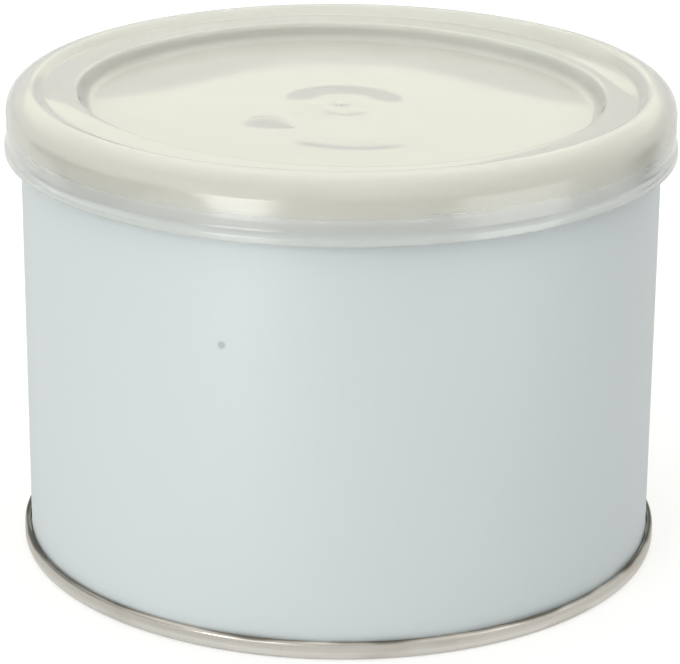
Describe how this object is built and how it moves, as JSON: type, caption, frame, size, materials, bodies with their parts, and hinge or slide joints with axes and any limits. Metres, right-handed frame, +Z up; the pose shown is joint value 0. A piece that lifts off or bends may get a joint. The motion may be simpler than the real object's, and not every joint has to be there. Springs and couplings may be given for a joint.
{
  "type": "empty tin can with plastic lid",
  "caption": "Short wide white-coated tin can with a bare metal bottom seam, closed by a translucent press-on plastic lid with a recessed top.",
  "frame": {"origin": "centre of the circle on which the bottom seam stands", "axes": "+Z up along the can's axis, out through the lid; every piece is turned about it, so +X and +Y may point any way"},
  "size_m": [0.104, 0.104, 0.0743],
  "materials": {
    "white_enamel": "smooth satin bluish white coating over tinplate",
    "bare_tinplate": "bare rolled tinplate with faint turning lines",
    "rim_tinplate": "bare curled tinplate, slightly dull",
    "milky_plastic": "milky translucent moulded polyethylene, semi-gloss"
  },
  "bodies": {
    "root": {"can_body": "white_enamel", "bottom_end": "bare_tinplate", "rim_ring": "rim_tinplate", "lid": "milky_plastic"}
  },
  "joints": []
}
